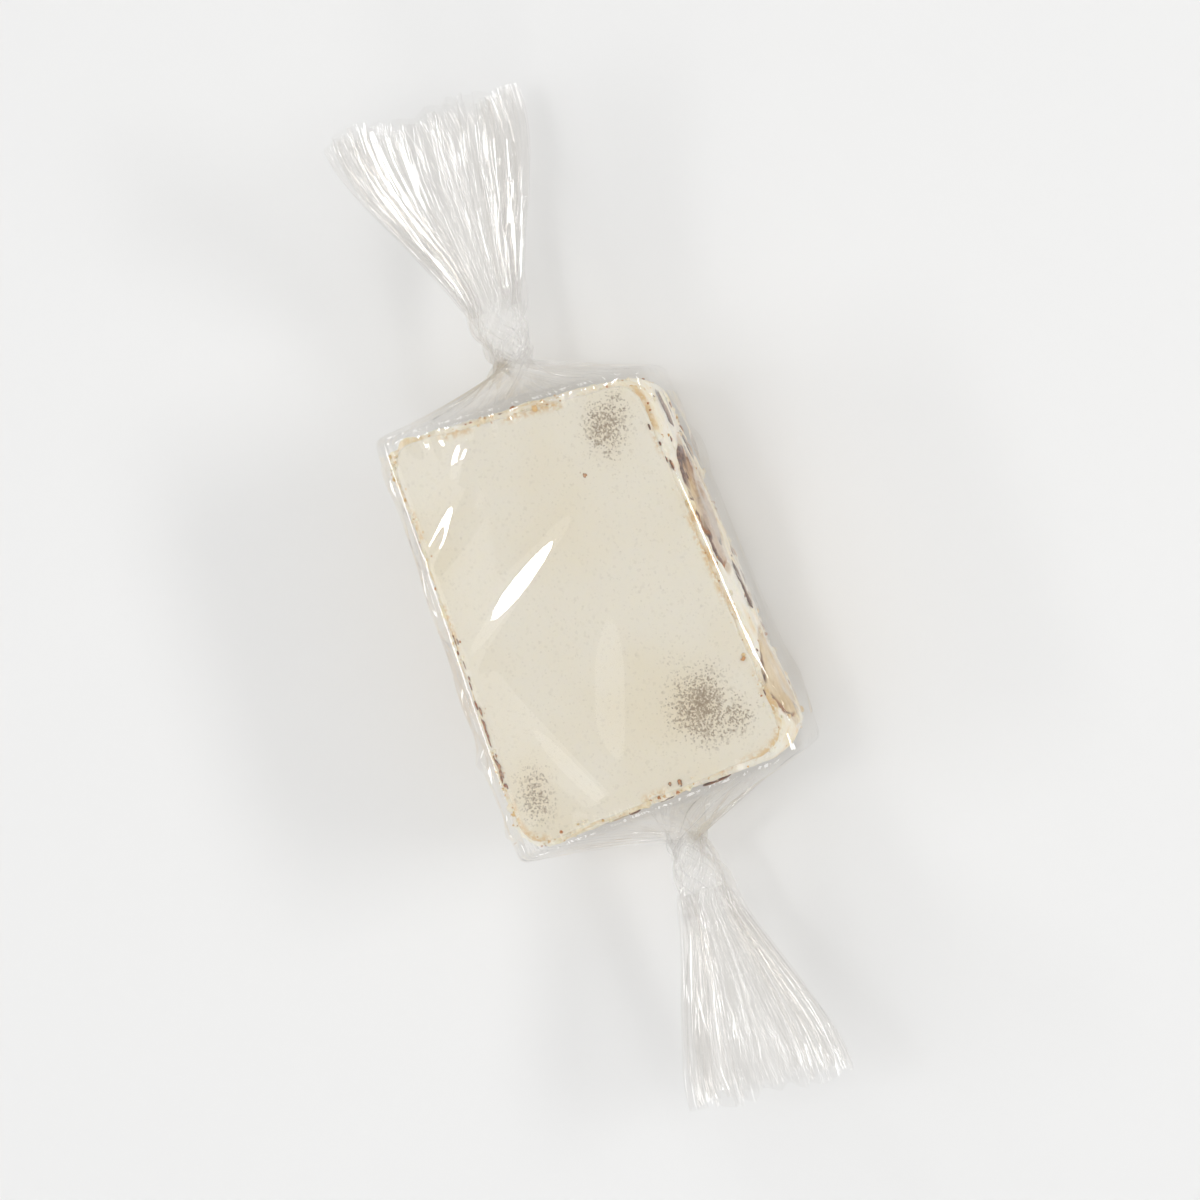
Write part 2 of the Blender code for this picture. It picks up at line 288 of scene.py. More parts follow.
SIDE_PLACES, SIDE_OUTWARD = rounded_outline(CORNERS, CORNER_RADIUS, NOUGAT_AROUND)


def add_piece(name, points, triangles, surface, marks, flow=None):
    """A smooth-shaded mesh object made from arrays, that rides with the part.

    marks has a number for each vertex under each name, and flow a UV place for each triangle corner.
    """
    mesh = bpy.data.meshes.new(name)
    mesh.vertices.add(len(points))
    mesh.vertices.foreach_set("co", points.astype(np.float32).ravel())
    mesh.loops.add(triangles.size)
    mesh.loops.foreach_set("vertex_index", triangles.astype(np.int32).ravel())
    mesh.polygons.add(len(triangles))
    mesh.polygons.foreach_set("loop_start", np.arange(0, triangles.size, 3, dtype=np.int32))
    for mark, values in marks.items():
        attribute = mesh.attributes.new(mark, "FLOAT", "POINT")
        attribute.data.foreach_set("value", values.astype(np.float32))
    mesh.update(calc_edges=True)
    if flow is not None:
        layer = mesh.uv_layers.new(name="flow")
        layer.data.foreach_set("uv", flow.astype(np.float32).ravel())
    mesh.shade_smooth()
    mesh.materials.append(surface)
    piece = bpy.data.objects.new(name, mesh)
    bpy.context.scene.collection.objects.link(piece)
    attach(piece, "root")
    return piece


def ring_triangles(rows, around):
    """Triangles between rows of points that run round: the row and the column of each corner.

    They face outwards where the rows climb and run anticlockwise. Column around is the first one again.
    """
    row, column = np.meshgrid(np.arange(rows - 1), np.arange(around), indexing="ij")
    quads = [(row, column), (row, column + 1), (row + 1, column + 1), (row + 1, column)]
    picks = (0, 1, 2, 0, 2, 3)
    stacked = [np.stack([quads[p][k] for p in picks], axis=-1).reshape(-1, 3) for k in (0, 1)]
    return stacked[0], stacked[1]


def closed_form(rows, low_pole, high_pole):
    """Points and triangles of a closed form: rows of points that run round, with a pole beyond each end."""
    count, around, _ = rows.shape
    row, column = ring_triangles(count, around)
    sides = row * around + column % around
    here = np.arange(around)
    after = (here + 1) % around
    low, high = count * around, count * around + 1
    last = (count - 1) * around
    bottom = np.stack([np.full(around, low), after, here], axis=1)
    top = np.stack([np.full(around, high), last + here, last + after], axis=1)
    points = np.concatenate([rows.reshape(-1, 3), [low_pole, high_pole]])
    return points, np.concatenate([sides, bottom, top])


def with_poles(values, low, high):
    """Numbers for a closed form's vertices, from an array of rows and one number for each pole."""
    return np.concatenate([np.asarray(values).ravel(), [low, high]])


def swell(height):
    """How far a cut side stands out at that height: an arch, nothing at the wafers and BULGE between."""
    share = (height - NOUGAT_BOTTOM) / (NOUGAT_TOP - NOUGAT_BOTTOM)
    return BULGE * np.clip(1 - (2 * share - 1) ** 2, 0, 1)


def knife_wave(angle, height):
    """Slow wander of a cut side, as in the frame: three waves round the block that drift with height."""
    level = height / BLOCK_HEIGHT
    wave = np.sin(7 * angle + 4 * level) + 0.7 * np.sin(12 * angle - 6 * level + 1.3)
    return KNIFE_WAVE * (wave + 0.5 * np.sin(19 * angle + 9 * level + 0.4)) / 2.2


class CutAlmond:
    """One almond section: where it shows on a cut side, which way it lies, and its outline."""

    def __init__(self, centre, half_sizes, turn, broken):
        centre, self.half = np.array(centre) * MM, np.array(half_sizes) * MM
        self.at_end = abs(centre[0]) > END_ALMOND_X * MM
        self.depth_axis, self.across_axis = (0, 1) if self.at_end else (1, 0)
        # The side's two corners, in order round the block
        start = (3 if centre[0] > 0 else 1) if self.at_end else (2 if centre[1] < 0 else 0)
        corner, following = CORNERS[start], CORNERS[(start + 1) % 4]
        along = (following - corner) / np.linalg.norm(following - corner)
        self.outward = np.array([along[1], -along[0], 0.0])
        to_side = (np.append(corner, centre[2]) - centre) @ self.outward
        self.middle = centre + to_side * self.outward
        self.across = np.append(along, 0.0) * np.sign(along[self.across_axis])
        self.depth = (to_side + swell(centre[2])) / self.half[self.depth_axis]
        self.scale = math.sqrt(max(1 - self.depth**2, 0.05))
        self.turn = math.radians(turn) * (-1 if self.at_end else 1)
        self.shift = centre[0] / MM
        self.broken = broken

    def outline(self, angle):
        """The section's edge at that angle, along the side and up: a lumpy ellipse with a narrow end."""
        x, z = self.scale * np.cos(angle), self.scale * np.sin(angle)
        lump = 1 + ALMOND_LUMPS * np.sin(4 * x + 2 * z + self.shift) * np.cos(3 * self.depth - 2 * z)
        narrow = 1.0 if self.at_end else 1 - ALMOND_TAPER * smooth(-0.2, 1.0, z)
        return self.half[self.across_axis] * narrow * lump * x, self.half[2] * lump * z

    def reach(self, points):
        """How far points near the section's side are from its middle, where 1 is the outline."""
        away = points - self.middle
        across, up = rotated(away @ self.across, away[..., 2], self.turn)
        wide, tall = self.half[self.across_axis] * self.scale, self.half[2] * self.scale
        angle = np.arctan2(up / tall, across / wide)
        edge = np.hypot(*self.outline(angle))
        share = np.hypot(across, up) / edge
        return np.where(np.abs(away @ self.outward) < 2.5 * MM, share, 9.0)


SECTIONS = {name: CutAlmond(*facts) for name, facts in ALMONDS.items()}


# Shader maths


class Value:
    """A number or colour that varies over a surface: a node's output. Arithmetic on it adds Math nodes."""

    def __init__(self, finish, output):
        self.finish = finish
        self.output = output

    def math(self, operation, *others):
        return self.finish.node("Math", {"operation": operation}, [self, *others])

    def __add__(self, other):
        return self.math("ADD", other)

    __radd__ = __add__

    def __sub__(self, other):
        return self.math("SUBTRACT", other)

    def __rsub__(self, other):
        return (self * -1) + other

    def __mul__(self, other):
        return self.math("MULTIPLY", other)

    __rmul__ = __mul__

    def __pow__(self, power):
        return self.math("POWER", power)

    def over(self, low, high):
        """0 where this is below low, 1 above high, an S-curve between; high may be below low."""
        settings = {"interpolation_type": "SMOOTHSTEP"}
        if low > high:
            return 1 - self.over(high, low)
        return self.finish.node("MapRange", settings, {"Value": self, "From Min": low, "From Max": high})


class Finish:
    """A material under construction: a Principled shader, and one method that adds any other node."""

    def __init__(self, name, uniform):
        self.material = bpy.data.materials.new(name)
        self.material.use_nodes = True
        self.tree = self.material.node_tree
        self.shader = self.tree.nodes["Principled BSDF"]
        self.output = self.tree.nodes["Material Output"]
        for socket, value in uniform.items():
            self.shader.inputs[socket].default_value = value

    def node(self, kind, settings=None, inputs=None, output=0):
        """Adds a node, applies its settings, feeds its sockets by name or in order, and returns an output."""
        made = self.tree.nodes.new("ShaderNode" + kind)
        for name, value in (settings or {}).items():
            setattr(made, name, value)
        inputs = inputs or {}
        pairs = inputs.items() if isinstance(inputs, dict) else enumerate(inputs)
        for socket, value in pairs:
            self.feed(made.inputs[socket], value)
        return Value(self, made.outputs[output])

    def feed(self, socket, value):
        if isinstance(value, Value):
            self.tree.links.new(value.output, socket)
        else:
            socket.default_value = value

    def place(self):
        """The surface's own coordinates in mm."""
        here = self.node("TexCoord", output="Object")
        return self.node("Mapping", None, {"Vector": here, "Scale": [1.0 / MM] * 3})

    def noise(self, size, detail=2.0, roughness=0.5, place=None):
        """Soft noise from 0 to 1 whose lumps are about size mm across."""
        inputs = {"Vector": place or self.place(), "Scale": 1.0 / size, "Detail": detail}
        return self.node("TexNoise", None, {**inputs, "Roughness": roughness}, "Fac")

    def grain(self, size):
        """A random number from 0 to 1 for each grain, where grains are about size mm across."""
        colour = self.node("TexVoronoi", None, {"Vector": self.place(), "Scale": 1.0 / size}, "Color")
        return self.node("SeparateColor", None, [colour])

    def mark(self, name):
        return self.node("Attribute", {"attribute_name": name}, output="Fac")

    def coats(self, base, *coats):
        """A base tint with coats over it, each a share and a tint."""
        colour = tint(*base)
        for share, over in coats:
            colour = self.blend(share, colour, tint(*over))
        return colour

    def blend(self, share, first, second):
        """Two colours mixed by share."""
        made = self.tree.nodes.new("ShaderNodeMix")
        made.data_type = "RGBA"
        for socket, value in zip(("Factor_Float", "A_Color", "B_Color"), (share, first, second)):
            self.feed(next(s for s in made.inputs if s.identifier == socket), value)
        return Value(self, next(s for s in made.outputs if s.identifier == "Result_Color"))

    def bump(self, height, distance, strength):
        """The normal of a surface raised by height, where 1 is distance in metres."""
        return self.node("Bump", None, {"Height": height, "Distance": distance, "Strength": strength})

    def show(self, **fed):
        """Feeds the shader's sockets, named with underscores for spaces."""
        for name, value in fed.items():
            self.feed(self.shader.inputs[name.replace("_", " ")], value)
        return self.material


class Surround(Finish):
    """The world's nodes, under construction in the same way."""

    def __init__(self, world):
        world.use_nodes = True
        self.tree = world.node_tree
        self.output = self.tree.nodes["World Output"]


def tint(red, green, blue):
    """A colour given as it looks on screen, from 0 to 255, as the shader's linear one."""
    linear = [((c / 255 + 0.055) / 1.055) ** 2.4 if c > 10 else c / 255 / 12.92 for c in (red, green, blue)]
    return (*linear, 1.0)


def food_finish(name, share, depth, specular=0.5, radius=(1.0, 0.8, 0.5)):
    """A finish that lets some light in: that share of it, to that depth in mm, and radius by colour."""
    uniform = {"Subsurface Weight": share, "Subsurface Scale": depth * MM, "Subsurface Radius": radius}
    return Finish(name, {**uniform, "Specular IOR Level": specular})


def nougat_finish():
    """Cream with drifting yellow and ochre patches, a tan tinge round almonds, and a fine sugary grain."""
    f = food_finish("nougat_cream", 0.35, 1.4, 0.4, (1.0, 0.75, 0.4))
    patches = f.noise(5.5, 3.0, 0.6)
    blotches = f.noise(1.5, 3.0, 0.6)
    flecks = f.noise(0.55, 2.0, 0.6)
    cream = f.coats(
        (243, 237, 222),
        (patches.over(0.40, 0.66), (240, 227, 198)),
        ((blotches * patches).over(0.27, 0.42) * 0.55, (230, 199, 146)),
        (flecks.over(0.64, 0.76) * 0.45, (205, 165, 108)),
        (f.mark("stain") * blotches.over(0.3, 0.6) * 0.6, (186, 156, 118)),
        (f.mark("toast") * (0.25 + blotches.over(0.4, 0.6) * 0.6), (212, 174, 118)))
    grain = f.noise(0.3, 3.0, 0.65) + f.noise(0.9, 2.0) * 0.6
    return f.show(Base_Color=cream, Roughness=0.5 + blotches * 0.25, Normal=f.bump(grain, 0.00022, 0.7))


def wafer_finish():
    """Off-white starch sheet: faint clouding, an even tooth and speckled grey where an almond lies below."""
    f = food_finish("wafer_white", 0.3, 1.8, 0.45)
    clouds, tooth, shade = f.noise(12.0, 2.0, 0.5), f.noise(0.5, 3.0, 0.7), f.mark("smudge")
    white = f.coats(
        (231, 223, 206),
        (clouds.over(0.3, 0.7), (228, 217, 194)),
        (shade * 0.5, (206, 189, 157)),
        ((shade * 0.85 - f.grain(0.14)).over(-0.10, 0.25) * 0.68, (130, 111, 88)),
        ((shade * 0.6 - f.grain(0.26)).over(-0.10, 0.25) * 0.5, (136, 117, 94)),
        (f.mark("browned") * tooth.over(0.38, 0.6) * 0.8, (212, 174, 118)))
    return f.show(Base_Color=white, Roughness=0.5 + tooth * 0.2, Normal=f.bump(tooth, 0.00006, 0.6))


def almond_finish():
    """Pale beige flesh with fibres, pink-grey where bruised, amber in places, and brown skin at its mark."""
    f = food_finish("almond_cut", 0.06, 0.6)
    broad, fine = f.noise(3.2, 3.0, 0.6), f.noise(0.6, 3.0, 0.7)
    flesh = f.coats(
        (226, 207, 174),
        (broad.over(0.36, 0.64), (211, 186, 144)),
        (fine.over(0.5, 0.75) * 0.45, (184, 154, 112)),
        (f.mark("bruise") * (0.5 + fine.over(0.35, 0.6) * 0.4), (196, 177, 164)),
        (f.mark("amber") * (0.55 + fine.over(0.3, 0.7) * 0.35), (176, 132, 88)))
    skin = f.coats(
        (76, 52, 46),
        (fine.over(0.38, 0.60), (142, 110, 94)),
        (broad.over(0.52, 0.62) * 0.75, (172, 120, 74)))
    colour, normal = f.blend(f.mark("skin"), flesh, skin), f.bump(fine + broad, 0.00015, 0.6)
    return f.show(Base_Color=colour, Roughness=0.42 + fine * 0.25, Normal=normal)


def skin_finish():
    """Broken almond skin: dark brown, reddish or greyish by each bit's own tone, streaked and dark-rimmed."""
    f = Finish("almond_skin", {"Specular IOR Level": 0.5})
    tone, streak = f.mark("tone"), f.noise(0.35, 3.0, 0.7)
    brown = f.coats(
        (104, 66, 44),
        (tone.over(0.05, 0.4), (166, 106, 66)),
        (tone.over(0.48, 0.6), (206, 148, 92)),
        (tone.over(0.64, 0.84), (166, 142, 126)),
        (streak.over(0.44, 0.62) * 0.7, (206, 180, 156)),
        (f.mark("rim") * streak.over(0.30, 0.52) * 0.9, (82, 52, 42)))
    return f.show(Base_Color=brown, Roughness=0.35 + streak * 0.3, Normal=f.bump(streak, 0.0001, 0.6))


def crumb_finish():
    """Loose crumbs of the cut: cream to toasted orange-brown by each crumb's own tone."""
    f = food_finish("crumbs", 0.1, 0.5, radius=(1.0, 0.2, 0.1))
    tone, grain = f.mark("tone"), f.noise(0.2, 3.0, 0.7)
    crumb = f.coats(
        (234, 224, 200),
        (tone.over(0.3, 0.7), (220, 186, 128)),
        (tone.over(0.74, 0.97), (178, 116, 62)))
    return f.show(Base_Color=crumb, Roughness=0.5 + grain * 0.3, Normal=f.bump(grain, 0.00008, 0.6))


def film_finish():
    """Clear film, ribbed where gathered: it shows what is behind it and mirrors more at a flat angle."""
    f = Finish("clear_film", {"Metallic": 1.0, "Roughness": 0.03, "Base Color": (1, 1, 1, 1)})
    flow = f.node("UVMap", {"uv_map": "flow"}, output="UV")
    ribs = f.node("Mapping", None, {"Vector": flow, "Scale": (150.0, 9.0, 1.0)})
    folds = f.node("Mapping", None, {"Vector": flow, "Scale": (46.0, 5.0, 1.0)})
    creases = (f.noise(1.0, 1.0, 0.5, place=folds) - 0.5).math("ABSOLUTE")
    ripple = (f.noise(1.0, 2.0, 0.5, place=ribs) + creases * 5.0) * f.mark("gather")
    normal = f.bump(ripple, 0.0003, 0.35)
    haze = f.mark("haze")
    clear = f.node("BsdfTransparent", None, {"Color": (0.985, 0.981, 0.975, 1)})
    slant = f.node("LayerWeight", None, {"Blend": 0.5, "Normal": normal}, "Facing")
    mirrored = slant**5 * 0.93 + 0.07 + haze * 0.09
    both = f.node("MixShader", None, [mirrored, clear, Value(f, f.shader.outputs[0])])
    f.feed(f.output.inputs["Surface"], both)
    return f.show(Normal=normal, Metallic=1 - haze * 0.7)


def cut_relief(points, edge):
    """Outward relief of a cut side: lumps, torn grain and small pits, and crumble where edge is 1."""
    lumps = 0.13 * soft_noise(points, 4.2 * MM, 3) + 0.09 * soft_noise(points, 1.7 * MM, 4)
    torn = 0.07 * soft_noise(points, 0.75 * MM, 5) + 0.035 * soft_noise(points, 0.38 * MM, 6)
    dragged = 0.05 * soft_noise(points * (1.0, 1.0, 0.22), 0.7 * MM, 8)
    away, _, tone = nearest_seeds(points, 1.5 * MM, 11)
    pits = smooth(0.1 + 0.22 * tone, 0.0, away) * (tone > 0.45)
    crumble = soft_noise(points, 1.1 * MM, 9) * soft_noise(points, 0.5 * MM, 10)
    return MM * (lumps + torn + dragged - 0.3 * pits + 0.6 * edge * crumble)


def cut_surface(outline, z):
    """Points of the side at height z over an outline, and how near they are to a wafer and to an almond.

    The side swells and wanders. A quarter circle rounds it at each wafer, and almonds sit in dents.
    """
    low, high = NOUGAT_BOTTOM - 0.02 * MM, NOUGAT_TOP + 0.02 * MM
    place, outward = outline
    base = np.concatenate([place, z[..., None]], axis=-1)
    to_wafer = np.minimum(z - low, high - z)
    in_edge = np.clip(1 - to_wafer / CUT_EDGE_RADIUS, 0, 1)
    worn = CUT_EDGE_RADIUS * 0.7 * (1 - np.sqrt(1 - in_edge**2))
    edge = smooth(2.2 * MM, 0.2 * MM, to_wafer)
    angle = np.arctan2(place[..., 1], place[..., 0])
    out = swell(z) + knife_wave(angle, z) - worn + cut_relief(base, edge)
    nearest = np.min([section.reach(base) for section in SECTIONS.values()], axis=0)
    out = out - 0.75 * MM * smooth(0.98, 0.84, nearest)
    out = out + 0.1 * MM * smooth(1.25, 1.08, nearest) * smooth(1.0, 1.08, nearest)
    points = base.copy()
    points[..., :2] += outward * out[..., None]
    return points, edge, nearest


def nougat_body(surface):
    """The soft nougat: rows of the cut side from one wafer to the other."""
    height = np.linspace(NOUGAT_BOTTOM - 0.02 * MM, NOUGAT_TOP + 0.02 * MM, NOUGAT_ROWS)
    shape = (NOUGAT_ROWS, NOUGAT_AROUND)
    around = [np.broadcast_to(part, (*shape, 2)) for part in (SIDE_PLACES, SIDE_OUTWARD)]
    rows, edge, nearest = cut_surface(around, np.broadcast_to(height[:, None], shape))
    toast = edge * smooth(0.1, 0.6, soft_noise(rows, 2.3 * MM, 21)) * 0.9
    points, triangles = closed_form(rows, (0, 0, height[0]), (0, 0, height[-1]))
    marks = {"stain": with_poles(smooth(1.14, 1.0, nearest), 0, 0), "toast": with_poles(toast, 0, 0)}
    piece = add_piece("nougat_body", points, triangles, surface, marks)
    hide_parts("nougat")


def pebble():
    """A ball of 18 points and 32 triangles: an octahedron whose edges have their middles pushed out."""
    corners = np.concatenate([np.eye(3), -np.eye(3)])
    edges = [pair for pair in itertools.combinations(range(6), 2) if pair[1] - pair[0] != 3]
    middles = [(corners[a] + corners[b]) / math.sqrt(2) for a, b in edges]
    number = {edge: 6 + k for k, edge in enumerate(edges)}
    triangles = []
    for x, y, z in itertools.product((0, 3), (1, 4), (2, 5)):
        a, b, c = (x, y, z) if (x + y + z) % 2 else (x, z, y)
        ab, bc, ca = (number[min(pair), max(pair)] for pair in ((a, b), (b, c), (c, a)))
        triangles += [(a, ab, ca), (ab, b, bc), (ca, bc, c), (ab, bc, ca)]
    return np.concatenate([corners, middles]), np.array(triangles)


def flake():
    """A thin domed disc of 38 points and 72 triangles: a flat underside, an edge and a low crown."""
    angle = np.linspace(0, 2 * math.pi, 12, endpoint=False)
    rings = [(0.9, -0.6), (1.0, 0.1), (0.6, 0.8)]
    rows = np.array([[(r * math.cos(a), r * math.sin(a), h) for a in angle] for r, h in rings])
    return closed_form(rows, (0, 0, -0.6), (0, 0, 1.0))


def strewn(name, shape, places, frames, sizes, turns, tone, surface, slot, seed):
    """Copies of one shape in one mesh, each lumpy in its own way.

    frames has each copy's three directions as rows, along, up and outwards, and turns its angle about the
    last. The mark rim is 1 far from that axis and 0 on it.
    """
    points, triangles = shape
    count = len(places)
    random = np.random.default_rng(seed)
    lumps = random.uniform(0.62, 1.25, (count, len(points), 1))
    made = points * lumps * sizes[:, None, :]
    made = np.stack([*rotated(made[..., 0], made[..., 1], turns[:, None]), made[..., 2]], axis=-1)
    made = np.einsum("nvk,nkc->nvc", made, frames) + places[:, None, :]
    every = triangles + len(points) * np.arange(count)[:, None, None]
    rim = smooth(0.3, 0.95, np.hypot(points[:, 0], points[:, 1]))
    marks = {"tone": np.repeat(tone, len(points)), "rim": np.tile(rim, count)}
    piece = add_piece(name, made.reshape(-1, 3), every.reshape(-1, 3), surface, marks)


def on_side(index, height):
    """Places on the cut side over those points of the outline, and the directions along, up and out there."""
    points, _, _ = cut_surface((SIDE_PLACES[index], SIDE_OUTWARD[index]), height)
    out = np.pad(SIDE_OUTWARD[index], ((0, 0), (0, 1)))
    along = np.stack([-out[:, 1], out[:, 0], out[:, 2]], axis=1)
    up = np.broadcast_to((0.0, 0.0, 1.0), out.shape)
    return points, np.stack([along, up, out], axis=1)


def crumbs(surface):
    """Crumbs torn loose by the knife: clustered lines of them along both wafers, and some on the sides."""
    random = np.random.default_rng(5)
    index = random.integers(0, NOUGAT_AROUND, CRUMB_TRIES)
    kind = random.random(CRUMB_TRIES)
    at_top, at_bottom = kind < 0.55, kind > 0.80
    height = random.uniform(NOUGAT_BOTTOM, NOUGAT_TOP, CRUMB_TRIES)
    height = np.where(at_top, NOUGAT_TOP + random.normal(-0.1, 0.28, CRUMB_TRIES) * MM, height)
    height = np.where(at_bottom, NOUGAT_BOTTOM + random.normal(0.2, 0.25, CRUMB_TRIES) * MM, height)
    spots = np.append(SIDE_PLACES[index], height[:, None] * 0.4, axis=1)
    dense = 0.5 + 0.5 * soft_noise(spots, 2.6 * MM, 62)
    kept = dense**2.2 > random.random(CRUMB_TRIES) * 0.9
    index, height, at_top = index[kept], height[kept], at_top[kept]
    count = len(index)
    points, frames = on_side(index, np.clip(height, NOUGAT_BOTTOM, NOUGAT_TOP))
    points[:, 2] = height
    size = np.minimum(0.075 * MM * np.exp(random.normal(0.35, 0.45, count)), 0.33 * MM)
    sizes = size[:, None] * random.uniform(0.7, 1.3, (count, 3))
    points -= frames[:, 2] * np.where(at_top, random.uniform(0.0, 0.5, count) * MM, 0)[:, None]
    tone = random.random(count) ** 1.25
    turns = random.uniform(0, math.pi, count)
    strewn("crumbs_on_edges", pebble(), points, frames, sizes, turns, tone, surface, "nougat", 6)


def skins(surface):
    """Bits of almond skin: those named on the front, others on the other sides, and tiny specks all round."""
    front = np.flatnonzero(SIDE_OUTWARD[:, 1] < -0.9)
    named = np.array(FRONT_SKINS)
    index = [front[np.argmin(np.abs(SIDE_PLACES[front, 0] - x * MM))] for x in named[:, 0]]

    random = np.random.default_rng(17)
    bends = [np.abs(SIDE_OUTWARD - np.roll(SIDE_OUTWARD, step, axis=0)).max(1) for step in (24, -24)]
    others = np.flatnonzero((SIDE_OUTWARD[:, 1] > -0.7) & (bends[0] + bends[1] < 0.01))
    bits, specks = OTHER_SKINS, SKIN_SPECKS
    drawn = np.concatenate([random.choice(others, bits), random.integers(0, NOUGAT_AROUND, specks)])
    long = np.concatenate([random.uniform(1.0, 3.8, bits), random.uniform(0.25, 0.7, specks)])
    wide = long * np.concatenate([random.uniform(0.22, 0.6, bits), random.uniform(0.5, 1.0, specks)])
    turn = np.concatenate([random.normal(5, 28, bits), random.uniform(-90, 90, specks)])
    tone = [random.choice([0.35, 0.5, 0.85, 0.95], bits), random.uniform(0.3, 0.62, specks)]
    margin = (0.4 + 0.5 * (long * np.abs(np.sin(np.radians(turn))) + wide)) * MM
    level = random.uniform(NOUGAT_BOTTOM + margin, NOUGAT_TOP - margin)

    points, frames = on_side(np.append(index, drawn), np.append(named[:, 1] * MM, level))
    drawn_facts = np.stack([long, wide, turn, np.concatenate(tone)], axis=1)
    facts = np.concatenate([named[:, 2:], drawn_facts])
    clear = np.min([section.reach(points) for section in SECTIONS.values()], axis=0) > 1.05
    clear[:len(named)] = True
    sizes = np.stack([facts[:, 0] / 2, facts[:, 1] / 2, 0.10 + 0.02 * facts[:, 0]], axis=1) * MM
    kept = [part[clear] for part in (points, frames, sizes, np.radians(facts[:, 2]), facts[:, 3])]
    strewn("skin_bits", flake(), *kept, surface, "almond", 18)


def wafer_specks(surface):
    """Specks on the upper wafer: an orange dot, and a broken brown line of skin along the back edge."""
    random = np.random.default_rng(27)
    run = np.sort(np.concatenate([random.uniform(-13.2, -6.5, 24), random.uniform(-6.0, 1.6, 10)]))
    count = len(run)
    edge = np.interp(run * MM, (BACK_LEFT[0], BACK_RIGHT[0]), (BACK_LEFT[1], BACK_RIGHT[1])) / MM
    line = [run, edge - 0.40 + 0.10 * random.normal(size=count), random.uniform(0.12, 0.5, count),
            random.uniform(0.05, 0.11, count), np.full(count, 0.05), random.uniform(0.35, 0.6, count)]
    facts = np.concatenate([np.stack(line, axis=1), WAFER_SPECKS])
    count = len(facts)
    places = np.insert(facts[:, :2], 2, WAFER_TOP / MM - 0.02, axis=1) * MM
    frames = np.broadcast_to(np.eye(3), (count, 3, 3))
    sizes, tone = facts[:, 2:5] * MM, facts[:, 5]
    strewn("wafer_specks", flake(), places, frames, sizes, np.zeros(count), tone, surface, "almond", 28)


